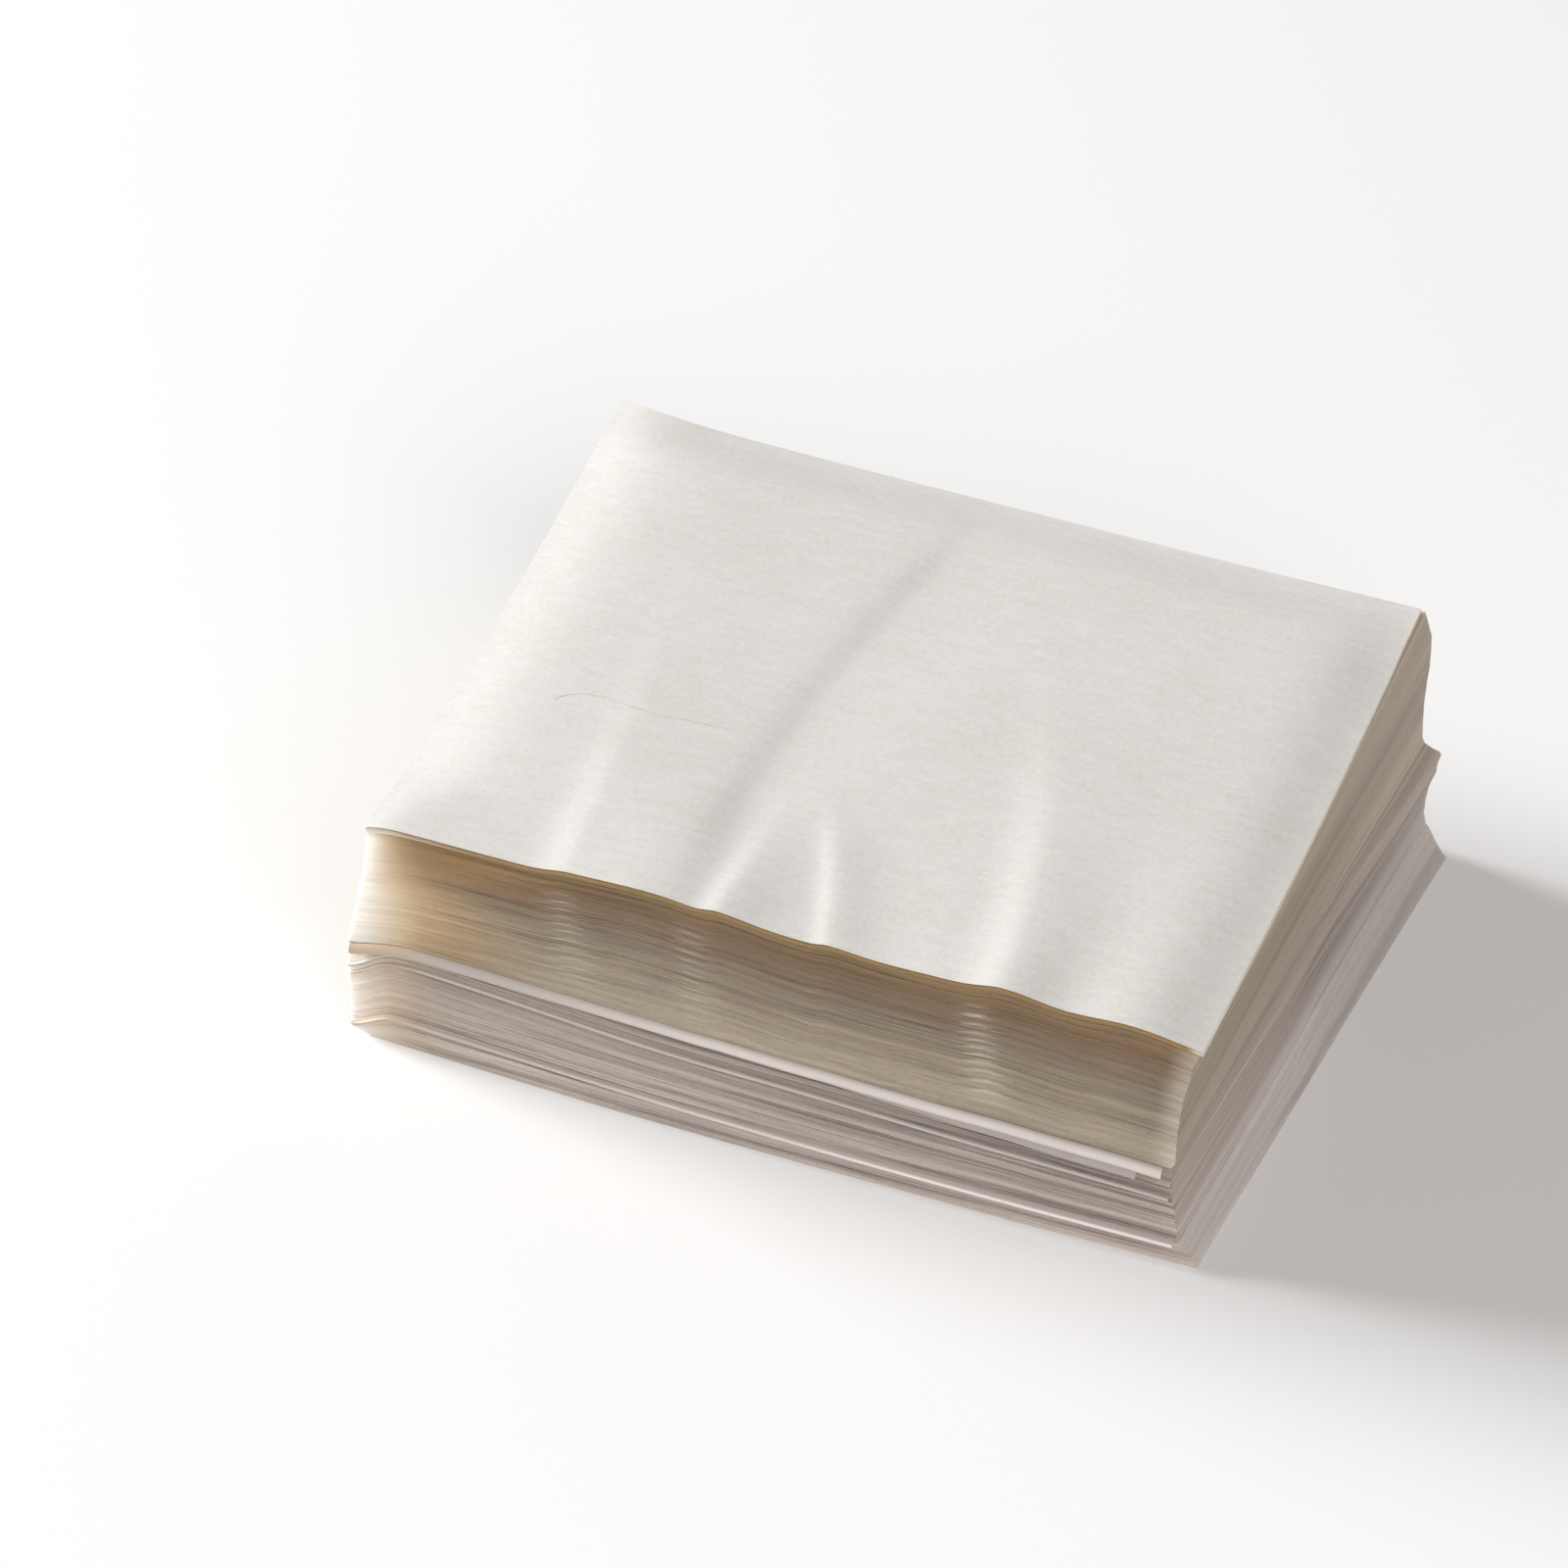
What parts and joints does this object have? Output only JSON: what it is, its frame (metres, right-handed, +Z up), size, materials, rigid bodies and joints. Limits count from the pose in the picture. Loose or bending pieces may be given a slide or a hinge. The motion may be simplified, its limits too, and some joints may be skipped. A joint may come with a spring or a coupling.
{
  "type": "stack of edible rice paper",
  "caption": "Loose rectangular pile of thin edible starch paper with uneven edges and a rippled top sheet.",
  "frame": {"origin": "centre of the pile's box at the table", "axes": "+X along the long side of the sheets, to the right; +Y to the back; +Z up, through the pile"},
  "size_m": [0.0966, 0.0722, 0.0329],
  "materials": {
    "bottom_edges": "cut edges of many thin starch sheets, matt, shaded grey-brown",
    "lower_edges": "cut edges of many thin starch sheets, matt, pinkish grey-brown",
    "middle_edges": "rolled edges of sheets that stick out, pale with a soft sheen",
    "upper_edges": "cut edges of many thin starch sheets, translucent olive-brown, creamy at the left",
    "sheet_face": "off-white translucent starch paper, satin, faint fibre texture"
  },
  "bodies": {
    "root": {"bottom_sheets": "bottom_edges", "lower_sheaf": "lower_edges", "middle_sheets": "middle_edges", "upper_sheaf": "upper_edges", "top_sheet": "sheet_face"}
  },
  "joints": []
}
